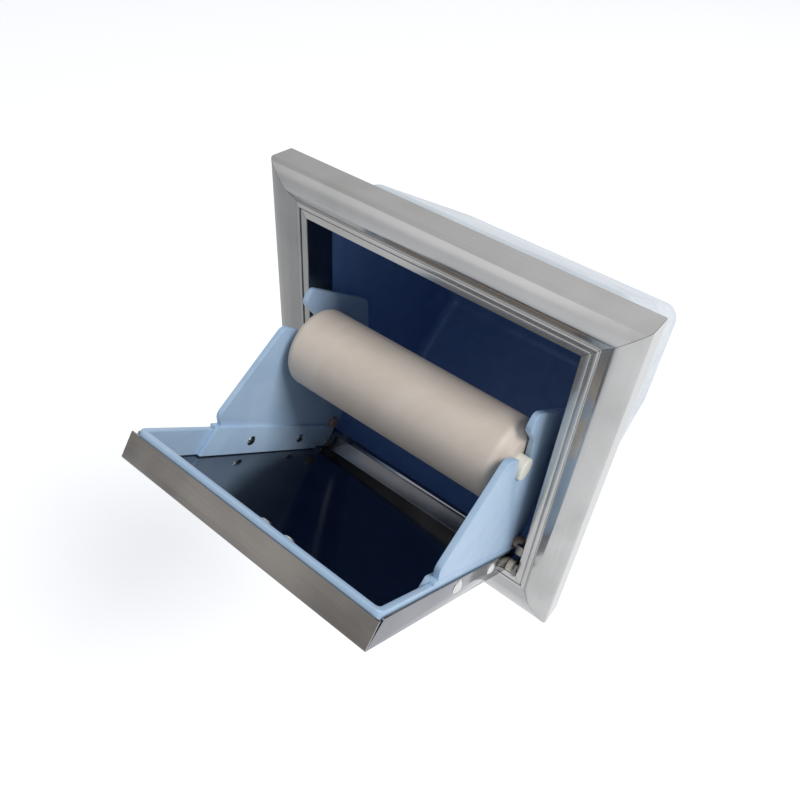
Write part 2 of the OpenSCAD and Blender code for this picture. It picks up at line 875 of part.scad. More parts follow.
// Snap-in bush in an ear's rear corner, which meets the bracket's tabs
module stop_bush() {
    outer_end = bracket_in - stop_side_gap;
    translate([0, pivot_w + stop_w, -pivot_v + stop_v]) {
        rod(ear_in - stop_head_l, ear_in, stop_d);
        rod(ear_in - eps, ear_out + eps, stop_neck_d);
        rod(ear_out, outer_end, stop_d);
    }
}

module stop_bush_right() {
    color(TAN) on_door() stop_bush();
}

module stop_bush_left() {
    color(TAN) on_door() mirror([1, 0, 0]) stop_bush();
}

// Flanged bush in the door's flange and rim, which turns on the hinge pin
module hinge_bush() {
    translate([0, pivot_w, -pivot_v])
        difference() {
            union() {
                rod(rim_in + fit_clear, half_door + eps, sleeve_d);
                rod(half_door, bracket_in - shoulder_gap, shoulder_d);
            }
            rod(rim_in - 1, bracket_in + 1, pin_d + 2 * run_clear);
        }
}

module hinge_bush_right() {
    color(PALE) on_door() hinge_bush();
}

module hinge_bush_left() {
    color(PALE) on_door() mirror([1, 0, 0]) hinge_bush();
}

// ---------- liner fastening ----------

module at_studs() {
    on_door()
        for (i = [0:1])
            translate([stud_x + i * stud_pitch, stud_up, 0])
                mirror([0, 0, 1])
                    children();
}

module liner_studs() {
    color(STEEL)
        at_studs()
            translate([0, 0, sheet_t])
                cylinder(h = liner_face + washer_t + nut_t - sheet_t, d = stud_d);
}

module liner_washers() {
    color(CHROME)
        at_studs()
            translate([0, 0, liner_face])
                difference() {
                    cylinder(h = washer_t, d = washer_d);
                    translate([0, 0, -1]) cylinder(h = washer_t + 2, d = stud_d + 2 * fit_clear);
                }
}

module liner_nuts() {
    color(CHROME)
        at_studs()
            translate([0, 0, liner_face + washer_t])
                difference() {
                    union() {
                        cylinder(h = nut_t, d = nut_d);
                        translate([0, 0, nut_t - eps]) dome(nut_d, nut_dome);
                    }
                    translate([0, 0, -1]) cylinder(h = nut_t + 1 + fit_clear, d = stud_d + 2 * fit_clear);
                }
}

// ---------- roller ----------

module at_roller() {
    on_door()
        translate([0, roller_w, -roller_v])
            children();
}

module roller_axle() {
    color(PALE)
        at_roller() {
            rod(-axle_half + axle_bevel, axle_half - axle_bevel, axle_d);
            both_sides()
                translate([axle_half - axle_bevel, 0, 0])
                    rotate([0, 90, 0])
                        cylinder(h = axle_bevel, d1 = axle_d, d2 = axle_d - 2 * axle_bevel);
        }
}

module roller_tube() {
    color(CREAM)
        at_roller()
            difference() {
                rod(-tube_half, tube_half, roller_d);
                rod(-tube_half - 1, tube_half + 1, 2 * tube_in_r);
            }
}

// End cap with a coned end, a plug in the tube and a bore for the axle
module roller_cap() {
    plug_r = tube_in_r - fit_clear;
    difference() {
        union() {
            rod(tube_half - plug_l, tube_half + eps, 2 * plug_r);
            rod(tube_half, roller_half - cone_l + eps, roller_d);
            translate([roller_half - cone_l, 0, 0])
                rotate([0, 90, 0])
                    cylinder(h = cone_l, d1 = roller_d, d2 = cone_d);
        }
        rod(tube_half - plug_l - 1, roller_half + 1, axle_d + 2 * run_clear);
    }
}

module roller_cap_right() {
    color(CREAM) at_roller() roller_cap();
}

module roller_cap_left() {
    color(CREAM) at_roller() mirror([1, 0, 0]) roller_cap();
}

recess_box();
frame_top();
frame_bottom();
frame_left();
frame_right();
corner_keys();
frame_screws();
hinge_bracket_left();
hinge_bracket_right();
bracket_rivets();
hinge_pin_left();
hinge_pin_right();
door_panel();
door_liner();
ear_left();
ear_right();
ear_rivets();
liner_studs();
liner_washers();
liner_nuts();
hinge_bush_left();
hinge_bush_right();
stop_bush_left();
stop_bush_right();
roller_axle();
roller_tube();
roller_cap_left();
roller_cap_right();
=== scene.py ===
"""Recessed toilet paper holder: polished steel frame, moulded wall box, tilt-out steel door with
plastic ears, and a roller. Pieces are drawn in millimetres and put in place in metres, in the
frame of the CAD model."""

import json
import math

import bpy
from mathutils import Matrix, Vector

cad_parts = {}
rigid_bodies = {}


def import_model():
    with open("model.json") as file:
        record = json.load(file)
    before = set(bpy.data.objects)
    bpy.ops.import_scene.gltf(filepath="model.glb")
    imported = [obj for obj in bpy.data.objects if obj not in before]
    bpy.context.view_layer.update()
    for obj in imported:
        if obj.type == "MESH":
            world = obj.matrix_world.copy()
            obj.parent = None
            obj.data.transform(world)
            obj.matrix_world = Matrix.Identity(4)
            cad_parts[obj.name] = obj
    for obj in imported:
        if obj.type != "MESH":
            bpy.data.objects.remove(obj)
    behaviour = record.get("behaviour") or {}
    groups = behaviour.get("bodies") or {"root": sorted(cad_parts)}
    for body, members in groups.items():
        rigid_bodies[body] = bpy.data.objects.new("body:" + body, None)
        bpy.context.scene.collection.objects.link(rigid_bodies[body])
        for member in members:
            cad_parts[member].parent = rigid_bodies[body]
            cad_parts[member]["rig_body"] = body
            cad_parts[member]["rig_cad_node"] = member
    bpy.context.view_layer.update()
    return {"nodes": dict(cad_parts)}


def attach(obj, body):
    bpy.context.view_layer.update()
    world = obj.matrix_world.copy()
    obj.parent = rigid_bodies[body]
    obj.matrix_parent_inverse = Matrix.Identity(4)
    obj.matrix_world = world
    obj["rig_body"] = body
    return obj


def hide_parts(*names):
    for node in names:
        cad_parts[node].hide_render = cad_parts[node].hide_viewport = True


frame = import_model()

MM = 0.001
MILLIMETRES = Matrix.Scale(MM, 4)

# ---------- sizes in millimetres, as the CAD model has them ----------

FRAME_W, FRAME_H, MEMBER_W = 180.0, 185.0, 21.5
SHEET = 1.0
SIDE_H, EDGE_R, CROWN_RISE, CROWN_IN = 10.8, 2.8, 4.2, 10.5
SLOPE_DROP, BEAD_IN, BEAD_W, BEAD_H = 2.4, 15.2, 2.4, 0.8
LIP_W, LIP_H, RETURN_IN = 3.6, 0.5, 3.0
MITRE_GAP = 0.2
# run-outs of the bead's sides and of the lip's foot
BEAD_SIDE, LIP_SIDE = 0.25, 0.15
# radii of the folds in the frame's face, from the crown to the opening
CREST_R, BEAD_FOOT_R, BEAD_R, FINE_R, LIP_R, OPENING_R = 3.0, 0.25, 0.4, 0.1, 0.25, 0.5
# how far the room inside the wall box reaches past the frame's inner walls
ROOM_MARGIN = 0.4

DOOR_OPEN = math.radians(54)
PIVOT_OUT, PIVOT_W, PIVOT_E = 12.8, 3.8, 3.6
END_ROOM = 2.6
DOOR_W, DOOR_L, DOOR_SHEET = 126.4, 136.8, 0.8
DOOR_FLANGE, HINGE_FLANGE = 12.0, 11.0
CORNER_CUT, HINGE_CUT, DOOR_BEND = 2.6, 4.0, 1.0
HALF_DOOR = DOOR_W / 2

RIM_T, RIM_GAP, RIM_R, RIM_INNER_R = 2.8, 0.3, 3.5, 1.6
RIM_OVER, RIM_END_GAP = 2.0, 0.5
RIM_OUT = HALF_DOOR - DOOR_SHEET - RIM_GAP
RIM_IN = RIM_OUT - RIM_T
RIM_LOW, RIM_TOP = DOOR_SHEET + RIM_GAP, DOOR_FLANGE + RIM_OVER
RIM_FRONT = DOOR_SHEET + RIM_GAP
RIM_END = DOOR_L - DOOR_SHEET - RIM_END_GAP
LINER_FACE = RIM_FRONT + RIM_T

STRIP_T, STRIP_START, STRIP_REAR, STRIP_RAMP, STRIP_GAP = 2.0, 36.0, 14.8, 4.0, 0.4
STRIP_END = DOOR_L - STRIP_REAR
STRIP_IN = RIM_IN - STRIP_T
FOOT_T = 1.6
FOOT_TOP = RIM_TOP + FOOT_T
EAR_INSET, EAR_T = 0.4, 2.8
EAR_OUT = RIM_OUT - EAR_INSET
EAR_IN = EAR_OUT - EAR_T
# corners of the ear's outline as (along the door, height, radius)
EAR_TOE = (-44, FOOT_TOP - 1, 0)
EAR_KNEE = (-40, 20.5, 4.5)
EAR_BROW = (-57.6, 66, 4.5)
LOBE_FRONT = (-64.4, 78.2, 3.5)
LOBE_TOP = (-64.6, 86.2, 3.6)
LOBE_REAR = (25.8 - DOOR_L, 88.5, 6)
EAR_REAR = (2.3 - DOOR_L, 61, 10)
HEEL_IN, HEEL_R = 0.5, 3.5
# top of the notch's front lip, and how far its rear side runs straight
NOTCH_LIP, NOTCH_LIP_R, NOTCH_RUN, NOTCH_BEND_R = 65.4, 1.6, 11.7, 3

ROLLER_V, ROLLER_W, ROLLER_R = 79.2, 61.1, 19.5
AXLE_R, AXLE_OUT, NOTCH_R = 5.2, 1.7, 5.5
END_GAP, CAP_L, CAP_SOONER = 0.8, 4, 2.4
ROLLER_HALF = EAR_IN - END_GAP
TUBE_HALF = ROLLER_HALF - CAP_L
# the drawn joint of tube and cap lies a little further in, clear of the cap's rounded edge
CAP_START = TUBE_HALF - CAP_SOONER
AXLE_HALF = EAR_OUT + AXLE_OUT
TUBE_IN_R, PLUG_R, PLUG_L, CAP_BORE_R = 17.3, 17.25, 8, 5.26
CONE_L, CONE_R, CAP_EDGE_R, CAP_FACE_R = 3.4, 11.2, 4.0, 3.0

RIVET_UP, RIVET_FRONT, RIVET_PITCH = 8.2, 66.0, 38.0
STUD_X, STUD_PITCH, STUD_UP = 6.5, 11.5, 10.3
WASHER_T, WASHER_R, STUD_BORE_R = 0.8, 4, 1.55
NUT_T, NUT_R, NUT_FOOT_R, NUT_DOME = 1.6, 3.2, 3.0, 1.8

BRACKET_T = 1.6
BRACKET_OUT = FRAME_W / 2 - MEMBER_W
BRACKET_IN = BRACKET_OUT - BRACKET_T
BRACKET_RIVET_OUT, BRACKET_RIVETS_UP = 5.6, (19.3, 1.8)
PIN_R, PIN_HEAD_R, PIN_HEAD_T, PIN_HEAD_GAP, PIN_SHORT = 1.4, 2.5, 1.0, 0.3, 0.1
BUSH_BORE_R, SLEEVE_R, SHOULDER_R, SHOULDER_GAP, FIT_CLEAR = 1.46, 2.2, 3.2, 0.2, 0.05
STOP_R, STOP_NECK_R, STOP_HEAD_L, STOP_SIDE_GAP = 3, 2.1, 2.2, 0.4
STOP_W, STOP_V = 13.4, 3.7

PIVOT_Z = -(FRAME_H - 2 * MEMBER_W) / 2 + END_ROOM + PIVOT_E
DOOR_PLACE = (
    Matrix.Translation((0, -PIVOT_OUT * MM, PIVOT_Z * MM))
    @ Matrix.Rotation(DOOR_OPEN, 4, "X")
    @ Matrix.Translation((0, -PIVOT_W * MM, (DOOR_L - PIVOT_E) * MM))
)
ROLLER_PLACE = DOOR_PLACE @ Matrix.Translation((0, ROLLER_W * MM, -ROLLER_V * MM))

# ---------- camera ----------

CAMERA_RIGHT = Vector((0.79859, 0.59397, 0.09724))
CAMERA_UP = Vector((-0.45393, 0.48829, 0.74533))
CAMERA_BACK = Vector((0.39522, -0.63936, 0.65957))
CAMERA_PLACE = (0.13208, -0.20951, 0.2266)

camera_data = bpy.data.cameras.new("studio_camera")
camera_data.sensor_width = 36
camera_data.lens = 31.529
camera_data.shift_x, camera_data.shift_y = -0.05037, -0.02395
camera_data.clip_start, camera_data.clip_end = 0.01, 50
camera = bpy.data.objects.new("studio_camera", camera_data)
bpy.context.scene.collection.objects.link(camera)
camera.matrix_world = Matrix.Translation(CAMERA_PLACE) @ Matrix(
    (CAMERA_RIGHT, CAMERA_UP, CAMERA_BACK)
).transposed().to_4x4()
bpy.context.scene.camera = camera

# ---------- outlines ----------


def arc(centre, radius, start, end, steps):
    """Points of an arc about centre, from angle start to angle end in degrees."""
    angles = [math.radians(start + (end - start) * i / steps) for i in range(steps + 1)]
    return [
        Vector((centre[0] + radius * math.cos(a), centre[1] + radius * math.sin(a)))
        for a in angles
    ]


def rounded(corners, closed=True, steps=8):
    """A line through the corners (x, y, radius), each one rounded."""
    points = []
    for i, (x, y, radius) in enumerate(corners):
        here = Vector((x, y))
        if radius == 0 or (not closed and i in (0, len(corners) - 1)):
            points.append(here)
            continue
        before = Vector(corners[i - 1][:2])
        after = Vector(corners[(i + 1) % len(corners)][:2])
        u, w = (before - here).normalized(), (after - here).normalized()
        half = u.angle(w) / 2
        centre = here + (u + w).normalized() * radius / math.sin(half)
        start = here + u * radius / math.tan(half) - centre
        end = here + w * radius / math.tan(half) - centre
        turn = math.atan2(start.x * end.y - start.y * end.x, start.dot(end))
        points += [
            centre + Matrix.Rotation(turn * k / steps, 2) @ start for k in range(steps + 1)
        ]
    return points


# ---------- tools for modelling ----------


def put_down():
    """Leaves edit mode with nothing selected."""
    if bpy.context.object and bpy.context.object.mode != "OBJECT":
        bpy.ops.object.mode_set(mode="OBJECT")
    bpy.ops.object.select_all(action="DESELECT")


def take(piece):
    """Selects the piece alone and makes it the active one."""
    put_down()
    piece.select_set(True)
    bpy.context.view_layer.objects.active = piece
    return piece


def draw(name, points):
    """Draws a line point by point, from a plane merged to one vertex, and stays in edit mode."""
    put_down()
    bpy.ops.mesh.primitive_plane_add(size=1)
    piece = bpy.context.object
    piece.name = piece.data.name = name
    bpy.ops.object.mode_set(mode="EDIT")
    bpy.ops.mesh.select_mode(type="VERT")
    bpy.ops.mesh.select_all(action="SELECT")
    bpy.ops.mesh.merge(type="CENTER")
    bpy.ops.transform.translate(value=points[0])
    for here, there in zip(points, points[1:]):
        bpy.ops.mesh.extrude_vertices_move(TRANSFORM_OT_translate={"value": there - here})
    return piece


def sheet(name, points, run):
    """A folded strip: the drawn section, pulled along run."""
    piece = draw(name, points)
    bpy.ops.mesh.select_all(action="SELECT")
    bpy.ops.mesh.extrude_edges_move(TRANSFORM_OT_translate={"value": run})
    true_normals()
    put_down()
    return piece


def slab(name, points, run):
    """A plate: the drawn outline, filled and pulled along run."""
    piece = draw(name, points)
    bpy.ops.mesh.select_all(action="SELECT")
    bpy.ops.mesh.edge_face_add()
    bpy.ops.mesh.extrude_region_move(TRANSFORM_OT_translate={"value": run})
    true_normals()
    put_down()
    return piece


def turned(name, points, steps=64):
    """A piece turned on the lathe about the X axis, from a section of (along, radius)."""
    piece = draw(name, [Vector((x, 0, r)) for x, r in points])
    bpy.ops.mesh.select_all(action="SELECT")
    bpy.ops.mesh.spin(steps=steps, angle=2 * math.pi, center=(0, 0, 0), axis=(1, 0, 0))
    bpy.ops.mesh.select_all(action="SELECT")
    bpy.ops.mesh.remove_doubles(threshold=0.0005)
    true_normals()
    put_down()
    return piece


def true_normals():
    """Turns every face of the piece in edit mode outwards."""
    bpy.ops.mesh.select_all(action="SELECT")
    bpy.ops.mesh.normals_make_consistent(inside=False)


def cut(at, away):
    """Cuts the piece in edit mode by a plane, drops its away side and closes the cut."""
    bpy.ops.mesh.select_all(action="SELECT")
    bpy.ops.mesh.bisect(
        plane_co=at, plane_no=away, use_fill=True, clear_outer=True, threshold=0.0001,
    )


def modify(piece, kind, **settings):
    """Adds a modifier with its settings and applies it."""
    take(piece)
    modifier = piece.modifiers.new(kind.lower(), kind)
    for key, value in settings.items():
        setattr(modifier, key, value)
    bpy.ops.object.modifier_apply(modifier=modifier.name)
    return piece


def round_edges(piece, width, segments=3, angle=30):
    """Rounds the edges that are sharper than angle in degrees."""
    return modify(
        piece, "BEVEL", width=width, segments=segments, limit_method="ANGLE",
        angle_limit=math.radians(angle), use_clamp_overlap=True, miter_outer="MITER_ARC",
    )


def joined(piece, *others):
    """Melts the other solids into the piece."""
    for other in others:
        modify(piece, "BOOLEAN", operation="UNION", object=other, solver="EXACT")
        take(other)
        bpy.ops.object.delete()
    take(piece)
    bpy.ops.object.mode_set(mode="EDIT")
    bpy.ops.mesh.select_all(action="SELECT")
    bpy.ops.mesh.remove_doubles(threshold=0.001)
    bpy.ops.mesh.dissolve_limited(angle_limit=math.radians(0.5))
    put_down()
    return piece


def gathered(name, *pieces):
    """Makes one piece of several loose ones, such as the rivets of a row."""
    put_down()
    for piece in pieces:
        piece.select_set(True)
    bpy.context.view_layer.objects.active = pieces[0]
    bpy.ops.object.join()
    pieces[0].name = pieces[0].data.name = name
    return pieces[0]


def copied(piece, name, matrix=None):
    """A copy with its own mesh, moved or mirrored by matrix."""
    take(piece)
    bpy.ops.object.duplicate(linked=False)
    copy = bpy.context.object
    copy.name = copy.data.name = name
    if matrix is not None:
        settle(copy, matrix)
    return copy


def settle(piece, matrix):
    """Puts the piece in its place and leaves its object at the origin, unturned and unscaled."""
    take(piece)
    piece.matrix_world = matrix
    bpy.ops.object.transform_apply(location=True, rotation=True, scale=True)
    if matrix.determinant() < 0:
        bpy.ops.object.mode_set(mode="EDIT")
        true_normals()
        put_down()
    return piece


MIRROR = Matrix.Scale(-1, 4, (1, 0, 0))


def fit(piece, place, body, nodes, material, smooth=32):
    """Puts a finished piece in place in metres, on its body and instead of its CAD nodes."""
    settle(piece, place @ MILLIMETRES)
    take(piece)
    bpy.ops.object.shade_smooth_by_angle(angle=math.radians(smooth))
    piece.data.materials.clear()
    piece.data.materials.append(material)
    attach(piece, body)
    if nodes:
        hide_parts(*nodes)
    return piece


# ---------- tools for materials ----------


def colour(code):
    """Linear colour from an sRGB hex value."""
    parts = [int(code[i:i + 2], 16) / 255 for i in (0, 2, 4)]
    return [c / 12.92 if c <= 0.04045 else ((c + 0.055) / 1.055) ** 2.4 for c in parts] + [1]


def add(tree, kind, links=None, inputs=None, **settings):
    """Adds a node with its settings, the values of its inputs and the links into it."""
    node = tree.nodes.new(kind)
    for key, value in settings.items():
        setattr(node, key, value)
    for key, value in (inputs or {}).items():
        node.inputs[key].default_value = value
    for key, socket in (links or {}).items():
        tree.links.new(socket, node.inputs[key])
    return node


def blank(name, **surface):
    """A new material: its tree, its shader with the given inputs, and the object's coordinates."""
    material = bpy.data.materials.new(name)
    material.use_nodes = True
    tree = material.node_tree
    shader = tree.nodes["Principled BSDF"]
    for key, value in surface.items():
        shader.inputs[key.replace("_", " ").title().replace("Ior", "IOR")].default_value = value
    return material, tree, shader, add(tree, "ShaderNodeTexCoord").outputs["Object"]


def ramp(tree, factor, *stops):
    """A colour ramp through (position, colour) stops."""
    node = add(tree, "ShaderNodeValToRGB", {"Fac": factor})
    node.color_ramp.elements[0].position, node.color_ramp.elements[0].color = stops[0]
    node.color_ramp.elements[1].position, node.color_ramp.elements[1].color = stops[-1]
    for position, value in stops[1:-1]:
        node.color_ramp.elements.new(position).color = value
    return node.outputs["Color"]


def drive(tree, shader, key, socket):
    """Links a socket into one of a shader's inputs."""
    tree.links.new(socket, shader.inputs[key])


def spread_over(tree, value, low, high, start, end):
    """Maps a value from the range low to high onto the range start to end."""
    limits = {"From Min": low, "From Max": high, "To Min": start, "To Max": end}
    return add(tree, "ShaderNodeMapRange", {"Value": value}, limits).outputs["Result"]


def noise(tree, place, **settings):
    """A noise texture over the given coordinates."""
    inputs = {key.title(): value for key, value in settings.items()}
    return add(tree, "ShaderNodeTexNoise", {"Vector": place}, inputs).outputs["Fac"]


def steel(name, light, dark, grain, roughness, spread, warp=0.0004, warp_scale=9, painted_shade_left=1.0):
    """Stainless steel sheet: a fine grain along the piece, clouds left by polishing, and the
    sheet's slight waves. The colour is taken down towards the left, to the given factor there:
    painted shade standing for darker reflections on that side."""
    material, tree, shader, place = blank(name, metallic=1.0)
    # scratches of the grit, drawn 0.6 mm wide and up to 60 mm long, so that they show
    along = add(tree, "ShaderNodeMapping", {"Vector": place}, {"Scale": grain})
    scratches = noise(tree, along.outputs["Vector"], scale=1.0, detail=5.0, roughness=0.6)
    # polishing leaves clouds about 40 mm across
    clouds = noise(tree, place, scale=25.0, detail=3.0, distortion=0.6)
    part = add(tree, "ShaderNodeMath", {0: scratches}, {1: 0.25}, operation="MULTIPLY")
    both = add(tree, "ShaderNodeMath", {0: clouds, 2: part.outputs[0]}, {1: 0.75},
               operation="MULTIPLY_ADD").outputs[0]
    base = ramp(tree, both, (0.36, colour(dark)), (0.62, colour(light)))
    # painted shade: the colour is scaled down across X towards the frame's left side
    across = add(tree, "ShaderNodeSeparateXYZ", {"Vector": place}).outputs["X"]
    half_width = FRAME_W / 2 * MM
    painted_shade = spread_over(tree, across, -half_width, half_width, painted_shade_left, 1.0)
    shaded_colour = add(tree, "ShaderNodeVectorMath", {0: base, "Scale": painted_shade}, operation="SCALE")
    drive(tree, shader, "Base Color", shaded_colour.outputs["Vector"])
    rough = spread_over(tree, both, 0.35, 0.65, roughness, roughness + spread)
    drive(tree, shader, "Roughness", rough)
    # the folded sheet isn't flat: waves about 110 mm apart and some tenths of a millimetre high
    waves = noise(tree, place, scale=warp_scale, detail=1.0)
    bump = add(tree, "ShaderNodeBump", {"Height": waves}, {"Strength": 1.0, "Distance": warp})
    fine = add(tree, "ShaderNodeBump", {"Height": scratches, "Normal": bump.outputs["Normal"]},
               {"Strength": 0.1, "Distance": 0.00002})
    drive(tree, shader, "Normal", fine.outputs["Normal"])
    return material


def moulded(name, light, dark, roughness, texture=0.00001, size=0.0007, **surface):
    """Moulded plastic: a finely spark-eroded skin, faint flow clouds in its colour and handling
    marks in its gloss."""
    material, tree, shader, place = blank(name, **surface)
    # the pigment flows in clouds about 25 mm across
    flow = noise(tree, place, scale=40.0, detail=4.0, distortion=1.2)
    base = ramp(tree, flow, (0.3, colour(dark)), (0.7, colour(light)))
    drive(tree, shader, "Base Color", base)
    skin = noise(tree, place, scale=1 / size, detail=3.0, roughness=0.6)
    rough = spread_over(tree, flow, 0.3, 0.7, roughness + 0.06, roughness - 0.03)
    drive(tree, shader, "Roughness", rough)
    bump = add(tree, "ShaderNodeBump", {"Height": skin}, {"Strength": 0.6, "Distance": texture})
    drive(tree, shader, "Normal", bump.outputs["Normal"])
    return material


# directions of the grain, as the scale of its noise along X, Y and Z
GRAIN_ACROSS, GRAIN_UPRIGHT = (16, 1600, 1600), (1600, 1600, 16)

# Polished stainless steel with its grain along the member: a soft mirror, with painted shade that
# darkens it towards the left
FRAME_ACROSS = steel(
    "polished_stainless_across", "B5B4B4", "A8A8A7", GRAIN_ACROSS, 0.17, 0.07, painted_shade_left=0.66,
)
FRAME_UPRIGHT = steel(
    "polished_stainless_upright", "B8B8B7", "A9A9A8", GRAIN_UPRIGHT, 0.2, 0.08, painted_shade_left=0.44,
)
# Bright-annealed stainless sheet: darker and clearer than the frame
DOOR_STEEL = steel(
    "bright_annealed_stainless", "8B8C90", "7E7F83", GRAIN_ACROSS, 0.1, 0.04, 0.00015,
)
# The same sheet on the outside of the front flange, drawn darker and rougher; the darker colour is
# painted shade
DOOR_FRONT_SHADE = steel(
    "stainless_front_painted_shade", "77736F", "625F5D", (24, 1200, 1200), 0.2, 0.12, 0.0003, 14,
)
# Plain cold-rolled stainless for the brackets
BRACKET_STEEL = steel(
    "cold_rolled_stainless", "8E8D8B", "6F6E6C", (400, 400, 1600), 0.25, 0.15,
)
# Nickel-plated steel of rivets, nuts and pins: small bright mirrors
RIVET_STEEL = steel(
    "nickel_plated_steel", "DADAD9", "BDBCBA", (700, 700, 700), 0.16, 0.1, 0.00001, 300,
)
# Zinc-plated steel, dull and a little blue
ZINC_STEEL = steel("zinc_plated_steel", "B9BEC6", "979CA5", (500, 500, 500), 0.32, 0.15)
# Light blue ABS with a satin moulded skin
BLUE_ABS = moulded("satin_blue_abs", "B0C8DF", "A2BDD8", 0.36, ior=1.53)
# Vacuum-formed ABS of the wall box
BOX_ABS = moulded("formed_pale_abs", "CDD4DA", "C3CBD2", 0.3, ior=1.53)
# Painted shade: the inside of the same wall box moulding, drawn in a deeper blue than its outside
BOX_PAINTED_SHADE = moulded("formed_blue_abs_painted_shade", "7C9ED2", "7093C8", 0.34, ior=1.53)
# Cream polypropylene of the roller: matt, with a fine skin
CREAM_PP = moulded("matt_cream_polypropylene", "DACDC0", "D1C3B5", 0.52, 0.00002, ior=1.49)
# Off-white acetal: waxy, semi-matt
ACETAL = moulded("off_white_acetal", "E6E3D8", "DAD7CB", 0.4, ior=1.48)
# Natural nylon, which yellows a little
NATURAL_NYLON = moulded("natural_nylon", "DDD8C8", "CFC9B7", 0.42, ior=1.53)
# Tan nylon of the stop bushes
TAN_NYLON = moulded("tan_nylon", "A5897A", "8F7566", 0.45, ior=1.53)

# ---------- frame ----------


def frame_section():
    """The face of a frame member as (distance in from its outer side, height over the wall)."""
    face_h = SIDE_H + CROWN_RISE
    slope_h = face_h - SLOPE_DROP
    run = CROWN_IN - EDGE_R
    chord = run * run + CROWN_RISE * CROWN_RISE - EDGE_R * EDGE_R
    crown_r = chord / (2 * (CROWN_RISE - EDGE_R))
    lean = math.degrees(math.asin(run / (crown_r - EDGE_R)))
    edge = arc((EDGE_R, SIDE_H), EDGE_R, 180, 90 + lean, 12)
    crown = arc((CROWN_IN, face_h - crown_r), crown_r, 90 + lean, 90, 20)
    bead_top, bead_end, lip = slope_h + BEAD_H, BEAD_IN + BEAD_W, MEMBER_W - LIP_W
    inner = rounded([
        (CROWN_IN - 1.5, face_h, 0),
        (CROWN_IN, face_h, CREST_R),
        (BEAD_IN, slope_h, BEAD_FOOT_R),
        (BEAD_IN + BEAD_SIDE, bead_top, BEAD_R),
        (bead_end - BEAD_SIDE, bead_top, BEAD_R),
        (bead_end, slope_h, FINE_R),
        (lip, slope_h, FINE_R),
        (lip + LIP_SIDE, slope_h + LIP_H, LIP_R),
        (MEMBER_W, slope_h + LIP_H, OPENING_R),
        (MEMBER_W, -RETURN_IN, 0),
    ], closed=False, steps=5)
    # the crown's arc stops short of the crest, whose rounding takes its place
    return [Vector((0, 0))] + edge + [p for p in crown[1:] if p.x < CROWN_IN - 1] + inner[1:]


def frame_member(name, node, length, half, turn, material):
    """A folded member along X with mitred ends, turned about Y into its place."""
    line = [Vector((-length / 2, -h, half - a)) for a, h in frame_section()]
    piece = sheet(name, line, Vector((length, 0, 0)))
    modify(
        piece, "SOLIDIFY", thickness=SHEET, offset=-1, use_even_offset=True,
        use_quality_normals=True,
    )
    take(piece)
    bpy.ops.object.mode_set(mode="EDIT")
    for side in (-1, 1):
        cut((side * (length - MITRE_GAP) / 2, 0, half), (side, 0, -1))
    true_normals()
    put_down()
    place = Matrix.Rotation(turn, 4, "Y")
    return fit(piece, place, "housing", [node], material, 28)


QUARTER = math.pi / 2
for side, length, width, turn, material in (
    ("top", FRAME_W, FRAME_H, 0, FRAME_ACROSS),
    ("right", FRAME_H, FRAME_W, QUARTER, FRAME_UPRIGHT),
    ("bottom", FRAME_W, FRAME_H, 2 * QUARTER, FRAME_ACROSS),
    ("left", FRAME_H, FRAME_W, -QUARTER, FRAME_UPRIGHT),
):
    frame_member(f"frame_member_{side}", f"frame_{side}", length, width / 2, turn, material)

# ---------- pieces that keep the shape of their CAD node ----------


def softened(node, name, body, material, edge=0.0):
    """A merged copy of a CAD node, with its edges broken where an edge width is given."""
    take(frame["nodes"][node])
    bpy.ops.object.duplicate(linked=False)
    piece = bpy.context.object
    piece.name = piece.data.name = name
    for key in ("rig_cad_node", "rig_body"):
        if key in piece:
            del piece[key]
    piece.parent = None
    bpy.ops.mesh.customdata_custom_splitnormals_clear()
    settle(piece, Matrix.Scale(1 / MM, 4))
    bpy.ops.object.mode_set(mode="EDIT")
    bpy.ops.mesh.select_all(action="SELECT")
    bpy.ops.mesh.remove_doubles(threshold=0.003)
    bpy.ops.mesh.mark_sharp(clear=True)
    bpy.ops.mesh.dissolve_limited(angle_limit=math.radians(1))
    put_down()
    if edge:
        round_edges(piece, edge)
    return fit(piece, Matrix.Identity(4), body, [node], material)


def second_material(piece, material, test):
    """Gives the faces that pass the test, by centre and normal, a second material."""
    piece.data.materials.append(material)
    for face in piece.data.polygons:
        if test(face.center, face.normal):
            face.material_index = 1


# a point in the middle of the wall box, and half the width and height of the room in it, in metres
BOX_MIDDLE = Vector((0, 0.06, -0.01))
BOX_ROOM_X = (FRAME_W / 2 - MEMBER_W + SHEET + ROOM_MARGIN) * MM
BOX_ROOM_Z = (FRAME_H / 2 - MEMBER_W + SHEET + ROOM_MARGIN) * MM


def inside_box(at, out):
    """Whether a face of the wall box lines its inside, so doesn't look into the wall."""
    in_room = abs(at.x) < BOX_ROOM_X and abs(at.z) < BOX_ROOM_Z
    return in_room and out.y < 0.3 and (BOX_MIDDLE - at).dot(out) > 0


wall_box = softened("recess_box", "wall_box", "housing", BOX_ABS)
# the faces inside the box get the deeper blue, which is painted shade
second_material(wall_box, BOX_PAINTED_SHADE, inside_box)
for side in ("left", "right"):
    softened(
        f"hinge_bracket_{side}", f"bracket_plate_{side}", "housing",
        BRACKET_STEEL, 0.2,
    )

# ---------- door ----------


